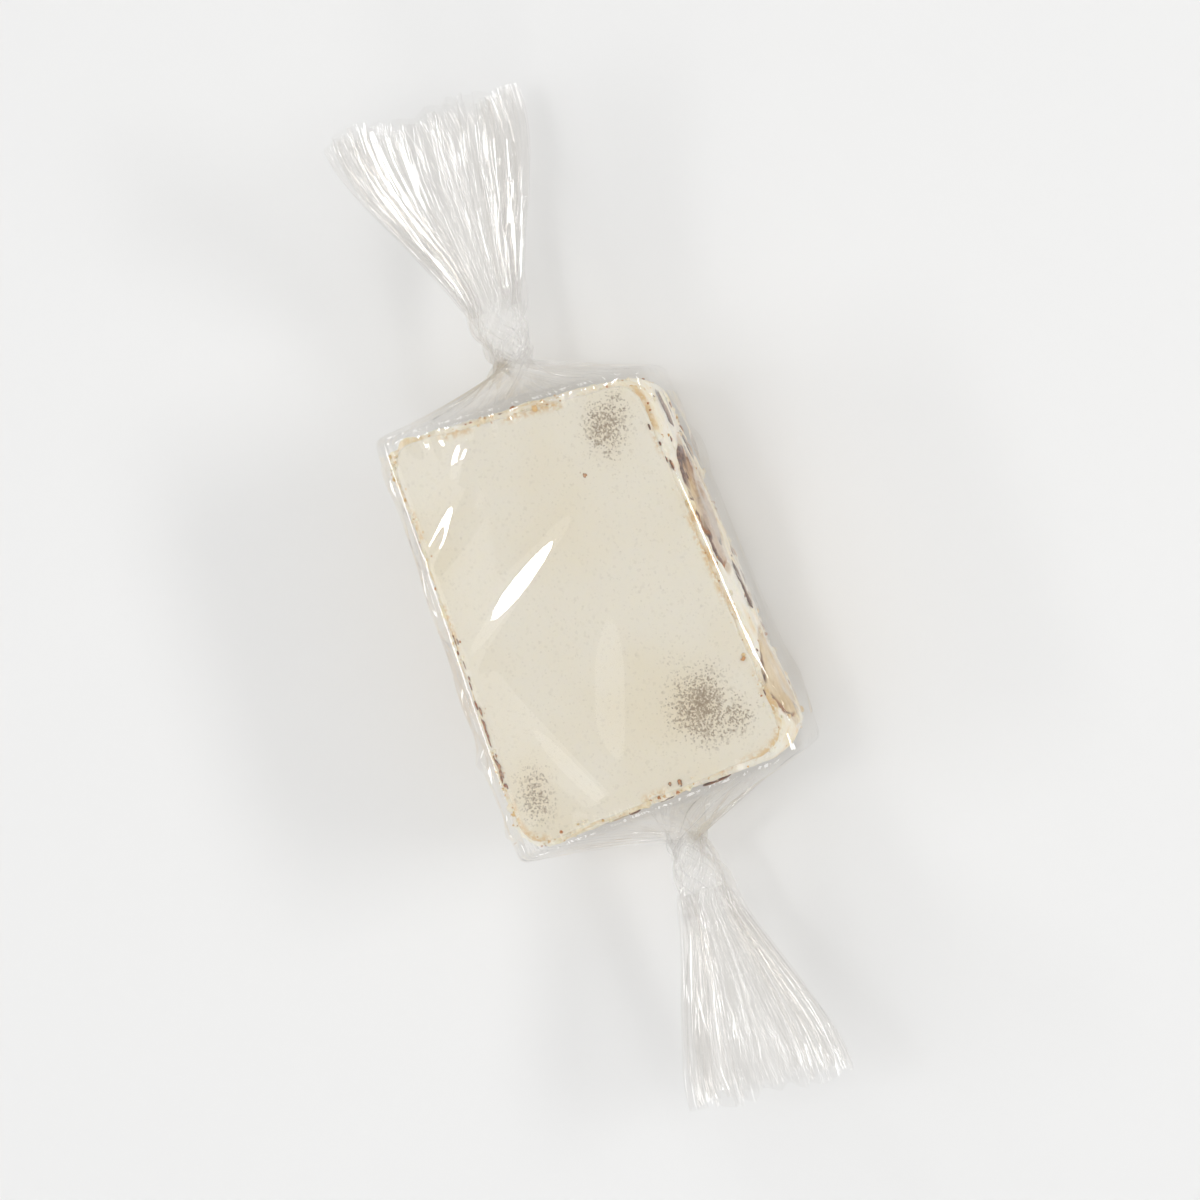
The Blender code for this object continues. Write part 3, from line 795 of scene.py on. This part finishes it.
def almond_piece(name, section, surface, seed):
    """One almond: a cut face on rings round its middle, then its sides going back into the nougat.

    The face follows the cut side, with the skin as a thin uneven line round it. Where the almond is broken,
    cells of it sit higher and lower, and an arc at the upper right keeps its skin.
    """
    angle = np.linspace(0, 2 * math.pi, ALMOND_AROUND, endpoint=False)
    share = np.append(np.arange(1, ALMOND_RINGS + 1) / ALMOND_RINGS, [1.01, 1.0, 0.8, 0.4])
    sunk = np.append(np.zeros(ALMOND_RINGS), [0.35, 0.9, 1.6, 2.1]) * MM
    rim_place = np.stack([np.cos(angle), np.sin(angle)], -1)
    uneven = 0.07 * soft_noise(rim_place, 0.6, seed + 9) + 0.035 * soft_noise(rim_place, 0.22, seed + 10)
    edge_across, edge_up = (part * (0.97 + uneven) for part in section.outline(angle))
    across, up = share[:, None] * edge_across, share[:, None] * edge_up
    flat = np.stack([across, up], axis=-1)
    wobble = np.stack([soft_noise(flat, 1.7 * MM, seed + k) for k in (1, 2)], -1)
    ragged = np.stack([soft_noise(flat, 0.6 * MM, seed + k) for k in (7, 8)], -1)
    cell_size = mixed(5.0, 2.4, section.broken) * MM
    _, crack, tone = nearest_seeds(flat + (0.75 * wobble + 0.22 * ragged) * MM, cell_size, seed)
    face = share[:, None] <= 1.0
    crack = smooth(0.10, 0.0, crack) * section.broken
    level = (tone - 0.6) * 0.55 * section.broken
    torn = 0.34 * soft_noise(flat, 1.2 * MM, seed + 12) + 0.30 * soft_noise(flat, 0.45 * MM, seed + 13)
    fine = 0.07 * soft_noise(flat, 1.1 * MM, seed + 3) + 0.03 * soft_noise(flat, 0.45 * MM, seed + 4)
    rim_noise = soft_noise(rim_place * 2.6, 1.0, seed + 5)
    rim_width = 0.07 + 0.05 * rim_noise
    skinned = smooth(-0.35, 0.1, rim_noise)
    rim = smooth(1 - 1.4 * rim_width, 1 - 0.5 * rim_width, share[:, None]) * skinned
    raised = (fine + level + 0.12 * torn * section.broken - 0.06 * crack - 0.10 * rim) * MM + 0.05 * MM
    raised = raised - 0.14 * MM * smooth(0.93, 1.0, share[:, None])
    beside, above = rotated(across, up, -section.turn)
    points = section.middle + beside[..., None] * section.across + above[..., None] * (0, 0, 1)
    height, side_angle = points[..., 2], np.arctan2(points[..., 1], points[..., 0])
    out = swell(height) + knife_wave(side_angle, height) + np.where(face, raised, -sunk[:, None])
    points = points + out[..., None] * section.outward
    shattered = smooth(0.25, 0.6, section.broken)
    rightward, upward = across / edge_across.max(), up / edge_up.max()
    arc = smooth(0.72, 0.86, 0.8 * share[:, None] + 0.45 * upward + 0.15 * rightward + 0.8 * torn)
    amber = smooth(0.15, 0.6, rightward + 0.8 * torn + 0.3 * (tone - 0.5)) * shattered
    bruise = smooth(-0.3, 0.4, soft_noise(flat, 2.6 * MM, seed + 6) - 0.5 * rightward)
    bruise = bruise * smooth(0.1, 0.6, section.broken)
    skin = np.clip(np.maximum(rim, arc * shattered), 0, 1) * face + skinned * (1.0 - face)
    front = section.middle + section.outward * (swell(section.middle[2]) + 0.05 * MM)
    back = section.middle - section.outward * 2.2 * MM
    turn_over = -1 if np.cross(section.across, (0, 0, 1)) @ section.outward < 0 else 1
    points, skin, bruise, amber = (part[::-1, ::turn_over] for part in (points, skin, bruise, amber))
    vertices, triangles = closed_form(points, back, front)
    marks = {"bruise": with_poles(bruise, 0, 0), "amber": with_poles(amber, 0, 0)}
    marks["skin"] = with_poles(skin, 1, 0)
    piece = add_piece(name + "_cut", vertices, triangles, surface, marks)
    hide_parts(name)


def wafer_piece(name, low, high, smudges, surface, seed):
    """A thin starch sheet on the block's outline: rings from the middle of one face to that of the other.

    It waves a little, its rim droops, and its edge is nibbled.
    """
    outline, outward = rounded_outline(CORNERS, CORNER_RADIUS, WAFER_AROUND)
    nibble = soft_noise(outline, 2.0 * MM, seed) + 0.7 * soft_noise(outline, 0.8 * MM, seed + 1)
    outline = outline - outward * (WAFER_INSET + (0.11 + 0.1 * nibble[:, None]) * MM)
    share = np.sqrt(np.linspace(0.0002, 1, WAFER_RINGS))
    both = np.concatenate([share, [1.004, 1.004], share[::-1]])
    flat = both[:, None, None] * outline
    upper = np.repeat([0.0, 0.25, 0.75, 1.0], [WAFER_RINGS, 1, 1, WAFER_RINGS])
    wave = 0.05 * soft_noise(flat, 8 * MM, seed + 2) + 0.016 * soft_noise(flat, 2.2 * MM, seed + 3)
    droop = 0.12 * smooth(0.9, 1.0, both[:, None]) * (-1 if seed % 2 else 1)
    z = low + (high - low) * upper[:, None] + (wave + droop) * MM
    rows = np.concatenate([flat, z[..., None]], axis=-1)
    points, triangles = closed_form(rows, (0, 0, rows[0, :, 2].mean()), (0, 0, rows[-1, :, 2].mean()))
    smudge = np.zeros(len(points))
    for (x, y), (wide, tall), strength in smudges:
        wander = 0.18 * soft_noise(points[:, :2], 2.2 * MM, seed + 4)
        away = np.hypot((points[:, 0] / MM - x) / wide, (points[:, 1] / MM - y) / tall) + wander
        smudge = smudge + (1 - smudge) * strength * np.exp(-1.9 * np.maximum(away, 0) ** 2)
    rim = with_poles(np.broadcast_to(smooth(0.955, 1.0, both[:, None]), flat.shape[:2]), 0, 0)
    browned = rim * smooth(0.0, 0.5, soft_noise(points[:, :2], 3.0 * MM, seed + 5))
    piece = add_piece(name + "_sheet", points, triangles, surface, {"smudge": smudge, "browned": browned})
    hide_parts(name)


def pleat_line(pleats, seed, rounding=1):
    """An uneven zigzag round the film from -1 to 1: folds at random columns, up and down by turns.

    A running mean over a few columns rounds the folds.
    """
    random = np.random.default_rng(seed)
    steps = random.uniform(0.45, 1.55, 2 * pleats)
    knots = np.round(np.cumsum(steps) / steps.sum() * FILM_AROUND)
    heights = np.tile([1.0, -1.0], pleats) * random.uniform(0.35, 1.0, 2 * pleats)
    line = np.interp(np.arange(FILM_AROUND), knots, heights, period=FILM_AROUND)
    return np.mean([np.roll(line, shift) for shift in range(-rounding, rounding + 1)], axis=0)


def sleeve_section(x_share, inset):
    """The film's section round the block as (y, z), a rounded rectangle; one for each x_share and inset."""
    front = mixed(FRONT_LEFT[1], FRONT_RIGHT[1], x_share) - FILM_REACH + inset
    back = mixed(BACK_LEFT[1], BACK_RIGHT[1], x_share) + FILM_REACH - inset
    bottom, top = inset + 0.04 * MM, FILM_TOP - inset
    corners = ((back, top), (front, top), (front, bottom), (back, bottom))
    return rounded_outline(corners, FILM_EDGE_RADIUS, FILM_AROUND)


def end_ripple(distance, seed):
    """How far the pleats of one end press the sleeve inwards there, each fading out over its own length."""
    valley = 0.5 - 0.5 * pleat_line(PLEATS, seed, 3)
    finer = 0.5 - 0.5 * pleat_line(3 * PLEATS, seed + 1, 1)
    reach = (2.6 + 1.8 * pleat_line(7, seed + 8, 12)) * MM
    deep = smooth(0.0, 1.0, (distance[:, None] + reach) / (reach + 0.5 * MM)) ** 1.3
    return MM * deep * (0.10 * valley + 0.05 * finer)


def tail_rows(side, seed, shrink=1.0, crumple_seed=0):
    """The film beyond one end of the block: over its edge, drawn in to a twisted neck, and fanned out.

    The film keeps its length round each row: what the gathered ellipse has no room for goes into pleats
    that reach inwards. They turn through the neck and sweep sideways in the fan, and flat facets stretched
    along them crumple the film.
    """
    stretches = [np.linspace(*stretch, endpoint=False) for stretch in TAIL_STRETCHES]
    distance = np.concatenate([*stretches, [TAIL_STRETCHES[-1][1]]]) * MM
    d = distance[:, None]
    beyond = np.maximum(d, 0)
    inset = FILM_EDGE_RADIUS * (1 - np.cos(math.pi / 2 * smooth(0.0, EDGE_END, distance)))
    sections = [sleeve_section(1.0 if side > 0 else 0.0, i) for i in inset]
    sleeve = np.stack([points for points, _ in sections])
    sleeve = sleeve - sections[0][1] * end_ripple(np.minimum(distance, 0.5 * MM), seed)[..., None]
    spread = smooth(NECK_START, TAIL_LENGTH, beyond) ** 0.8
    shrink = shrink * mixed(1.0, 1.08, spread)
    wide = mixed(NECK_RADIUS, FAN_HALF_WIDTH, spread) * shrink
    deep = mixed(NECK_RADIUS, FAN_HALF_DEPTH, spread) * shrink
    turned = side * FAN_TURN * beyond / TAIL_LENGTH
    turned = turned + side * NECK_TWIST * smooth(1.2 * MM, NECK_END + 3.5 * MM, beyond)
    round_share = np.arange(FILM_AROUND) / FILM_AROUND
    angle = 2 * math.pi * round_share + FIRST_POINT_ANGLE + turned
    sweep_grid = np.stack(np.broadcast_arrays(round_share * FILM_GIRTH, beyond * 0.5), axis=-1)
    sweep = soft_noise(sweep_grid, 9 * MM, seed + 6) * smooth(NECK_END, TAIL_LENGTH, beyond)
    angle = angle + 0.16 * sweep

    chord = 2 * math.pi * np.sqrt((wide**2 + deep**2) / 2) / (2 * PLEATS)
    leg = FILM_GIRTH / (2 * PLEATS)
    fold_depth = np.sqrt(np.maximum(leg**2 - chord**2, 0)) * 0.8
    in_neck = smooth(3.0 * MM, NECK_START, beyond) * smooth(NECK_END + 5 * MM, NECK_END, beyond)
    share = np.minimum(fold_depth / np.sqrt(wide * deep), 0.62 - 0.30 * in_neck)
    valley = 0.5 - 0.5 * pleat_line(PLEATS, seed, 1)
    finer = 0.5 - 0.5 * pleat_line(3 * PLEATS, seed + 1, 0)
    strands = 0.10 * in_neck * np.cos(5 * 2 * math.pi * round_share + 0.8 * side)
    fold = 1 - share * (0.68 * valley + 0.32 * finer) + strands - 0.08 * in_neck
    y, z = wide * np.cos(angle) * fold, deep * np.sin(angle) * fold
    y, z = rotated(y, z, FAN_TILT[side])
    lift = FAN_LIFT * smooth(NECK_END, TAIL_LENGTH, d)
    gathered = np.stack([y, z + MIDDLE_HEIGHT + lift], axis=-1)
    drawn = (smooth(CONE_START, NECK_START, d) ** 0.7)[..., None]
    section = mixed(sleeve, gathered, drawn)

    back, front = (BACK_RIGHT, FRONT_RIGHT) if side > 0 else (BACK_LEFT, FRONT_LEFT)
    slant = (back[0] - front[0]) / (back[1] - front[1])
    tip = smooth(0.8 * TAIL_LENGTH, TAIL_LENGTH, d)
    middle = mixed((back[0] + front[0]) / 2, side * HALF_LENGTH, tip)
    x = middle + slant * section[..., 0] * (1 - smooth(0.0, NECK_END, d)) + side * d
    ragged = 0.5 + 0.5 * np.sin(5 * angle + 2 * side) + 0.5 * pleat_line(23, seed + 3)
    x = x - side * tip * (0.9 * np.clip(ragged, 0, 1.5) + 3.0 * (1.08 - shrink)) * MM

    away = section - (0, MIDDLE_HEIGHT)
    away = away / np.linalg.norm(away, axis=-1, keepdims=True)
    grid = np.stack(np.broadcast_arrays(round_share * FILM_GIRTH, d * 0.4), axis=-1)
    crumple = facet_noise(grid, 4.6 * MM, seed + 4 + crumple_seed)
    crumple = crumple + 0.4 * facet_noise(grid, 1.9 * MM, seed + 5)
    depth = smooth(0.3 * MM, 2.5 * MM, beyond) * mixed(0.28, 0.42, spread) * MM
    cone_depth = 1.3 * MM * smooth(0.1 * MM, 2.6 * MM, beyond) * smooth(8.5 * MM, 4 * MM, beyond)
    pressed = (0.7 * valley + 0.3 * finer - 0.15) * cone_depth
    section = section + away * ((crumple - 0.4) * depth - pressed)[..., None]
    return np.concatenate([x[..., None], section], axis=-1), distance


def ridge(across, along, facts):
    """Height of one soft ridge in the film: a bell across its crest and a bell along it."""
    (x, y), turn, half_width, half_length, height = facts
    on, off = rotated(across / MM - x, along / MM - y, -math.radians(turn))
    return height * MM * np.exp(-0.5 * (off / half_width) ** 2 - 0.5 * (on / half_length) ** 2)


def side_wrinkles(seed):
    """Random short ridges for an upright side of the sleeve: most near the ends, leaning to the twist."""
    random = np.random.default_rng(seed)
    x = WRINKLE_REACH * random.uniform(-1, 1, SIDE_WRINKLES)
    x = np.sign(x) * WRINKLE_REACH * (np.abs(x) / WRINKLE_REACH) ** 0.6
    z = random.uniform(1.5, 17.0, SIDE_WRINKLES)
    lean = np.degrees(np.arctan2(MIDDLE_HEIGHT / MM - z, np.sign(x) * 26 - x))
    lean = lean + random.normal(0, 24, SIDE_WRINKLES)
    width, length = random.uniform(0.3, 0.8, SIDE_WRINKLES), random.uniform(1.4, 4.5, SIDE_WRINKLES)
    height = np.minimum(width * random.uniform(0.3, 0.9, SIDE_WRINKLES), 0.36)
    return list(zip(zip(x, z), lean, width, length, height))


def film_sleeve(left, right, distance, seeds):
    """Rows along the block from tail to tail, with slow waves, ridges and the ends' pleats."""
    _, outward = sleeve_section(0.5, 0.0)
    ripples = [end_ripple(distance[:1], seed) for seed in seeds]
    flat = [row.copy() for row in (left, right)]
    for row, ripple in zip(flat, ripples):
        row[:, 1:] += outward * ripple[0][:, None]
    share = np.linspace(0, 1, SLEEVE_ROWS + 2)[1:-1, None, None]
    rows = mixed(flat[0], flat[1], share)
    x, y, z = np.moveaxis(rows, -1, 0)
    span = right[:, 0].mean() - left[:, 0].mean()
    along = share[..., 0] * span
    around = np.arange(FILM_AROUND) / FILM_AROUND * FILM_GIRTH
    grid = np.stack(np.broadcast_arrays(around, along), axis=-1)
    slow = soft_noise(grid, 13 * MM, 51) + 0.1 * soft_noise(grid, 6 * MM, 52)
    settled = np.sin(math.pi * share[..., 0]) ** 0.5
    rise = 0.08 * MM * slow * settled
    for facts in TOP_RIDGES:
        rise = rise + ridge(x, y, facts) * (outward[:, 1] > 0.7)
    for upright, seed in ((outward[:, 0] < -0.7, 54), (outward[:, 0] > 0.7, 55)):
        for facts in side_wrinkles(seed):
            rise = rise + ridge(x, z, facts) * upright
    rise = np.where(outward[:, 1] < -0.5, np.abs(rise) * -0.3, rise)
    for portion, seed in zip((along, span - along), seeds):
        rise = rise - end_ripple(distance[0] - portion[:, 0], seed)
    rows[..., 1:] += outward * rise[..., None]
    return rows


def film_mesh(name, rows, place, surface):
    """A tube of film from its rows and their places along X before twisting; its UV map goes round and along.

    The mark gather is 1 beyond the block's ends, and haze is 1 in the necks, where the film is milky.
    """
    count, around, _ = rows.shape
    row, column = ring_triangles(count, around)
    flow = np.stack([column / around, 0.5 + place[row] / (2 * (HALF_LENGTH + TAIL_LENGTH))], axis=-1)
    beyond = np.abs(place) - HALF_LENGTH
    gather = smooth(-1.2 * MM, 1.2 * MM, beyond)
    haze = smooth(1.5 * MM, NECK_START, beyond) * mixed(1.0, 0.25, smooth(NECK_END, 16 * MM, beyond))
    marks = {"gather": np.repeat(gather, around), "haze": np.repeat(haze, around)}
    return add_piece(name, rows.reshape(-1, 3), row * around + column % around, surface, marks, flow)


def wrapper_film(surface):
    """The whole wrapper as one tube of film, and the inner turn of film that shows in each fan."""
    seeds = {-1: 61, 1: 71}
    left, distance = tail_rows(-1, seeds[-1])
    right, _ = tail_rows(1, seeds[1])
    sleeve = film_sleeve(left[0], right[0], distance, (seeds[-1], seeds[1]))
    rows = np.concatenate([left[::-1], sleeve, right])
    reach = HALF_LENGTH + distance
    place = np.concatenate([-reach[::-1], np.linspace(-reach[0], reach[0], SLEEVE_ROWS + 2)[1:-1], reach])
    piece = film_mesh("film", rows, place, surface)
    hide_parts("wrapper")
    for side, name in ((-1, "film_inner_left"), (1, "film_inner_right")):
        inner, _ = tail_rows(side, seeds[side], shrink=INNER_FILM_SHRINK, crumple_seed=20)
        beyond = distance > INNER_FILM_START
        inner, place = inner[beyond], side * reach[beyond]
        if side < 0:
            inner, place = inner[::-1], place[::-1]
        film_mesh(name, inner, place, surface)


def stage():
    """Pale floor, an even pale surround, and soft boxes above and on all four sides of the block.

    Where the lamps no longer reach, a faint glow keeps the floor as pale as it is near the block.
    """
    f = Finish("floor_pale", {"Roughness": 0.8, "Specular IOR Level": 0.1, "Emission Strength": 1.0})
    away = f.node("VectorMath", {"operation": "LENGTH"}, [f.node("TexCoord", output="Object")], "Value")
    glow = f.blend(away.over(0.25, 0.64), (0.0, 0.0, 0.0, 1.0), (0.33, 0.33, 0.33, 1.0))
    pale = f.coats((234, 234, 233), (f.noise(60.0, 1.0) * 0.2, (231, 231, 231)))
    f.show(Base_Color=pale, Emission_Color=glow)
    mesh = bpy.data.meshes.new("floor")
    corners = [(x * FLOOR_REACH, y * FLOOR_REACH, 0) for x, y in ((-1, -1), (1, -1), (1, 1), (-1, 1))]
    mesh.from_pydata(corners, [], [(0, 1, 2, 3)])
    mesh.materials.append(f.material)
    floor = bpy.data.objects.new("floor", mesh)
    floor.location.z = -0.00005
    bpy.context.scene.collection.objects.link(floor)

    bpy.context.scene.world = world = bpy.data.worlds.new("surround")
    s = Surround(world)
    height = s.node("SeparateXYZ", None, [s.node("TexCoord", output="Generated")], "Z")
    low, high = SURROUND_GLOW
    rising = s.node("MapRange", None, {"Value": height, "To Min": low, "To Max": high})
    lighting = s.node("Background", None, {"Color": (0.985, 0.985, 0.99, 1), "Strength": rising})
    seen = s.node("Background", None, {"Color": tint(240, 240, 241)})
    by_ray = s.node("LightPath", output="Is Camera Ray")
    s.feed(s.output.inputs["Surface"], s.node("MixShader", None, [by_ray, lighting, seen]))

    for name, facts in LAMPS.items():
        soft_box(name, *facts)


def soft_box(name, place, size, power, spread):
    """A rectangular lamp that faces the block."""
    light = bpy.data.lights.new(name, "AREA")
    light.shape = "RECTANGLE"
    light.size, light.size_y = size
    light.energy = power
    light.spread = math.radians(spread)
    lamp = bpy.data.objects.new(name, light)
    lamp.location = place
    to_block = Vector((0, 0, MIDDLE_HEIGHT)) - Vector(place)
    lamp.rotation_euler = to_block.to_track_quat("-Z", "Y").to_euler()
    bpy.context.scene.collection.objects.link(lamp)


def camera():
    """Looks down on the wafer from a little to the front; the right end is at the top, leaning left."""
    lean, tilt = math.radians(20.2), math.radians(10)
    data = bpy.data.cameras.new("camera")
    data.lens = 120
    data.sensor_width = 36
    distance, aim = 0.372, Vector((0.0, 0.0, MIDDLE_HEIGHT))
    back = Vector((0, -math.sin(tilt), math.cos(tilt)))
    up = Vector((math.cos(lean), -math.sin(lean), 0))
    up = (up - up.dot(back) * back).normalized()
    turn = Matrix((up.cross(back), up, back)).transposed()
    made = bpy.data.objects.new("camera", data)
    made.matrix_world = Matrix.Translation(aim + back * distance) @ turn.to_4x4()
    bpy.context.scene.collection.objects.link(made)
    bpy.context.scene.camera = made


def main():
    bpy.context.scene.view_settings.view_transform = "Standard"
    cycles = bpy.context.scene.cycles
    cycles.transparent_max_bounces = 40
    cycles.max_bounces, cycles.diffuse_bounces, cycles.glossy_bounces = 6, 3, 3
    camera()
    stage()
    nougat_body(nougat_finish())
    flesh = almond_finish()
    for number, (name, section) in enumerate(SECTIONS.items()):
        almond_piece(name, section, flesh, 100 + 10 * number)
    starch = wafer_finish()
    wafer_piece("wafer_bottom", WAFER_BOTTOM, NOUGAT_BOTTOM, BOTTOM_SMUDGES, starch, 32)
    wafer_piece("wafer_top", NOUGAT_TOP, WAFER_TOP, TOP_SMUDGES, starch, 41)
    crumbs(crumb_finish())
    husk = skin_finish()
    skins(husk)
    wafer_specks(husk)
    wrapper_film(film_finish())


main()
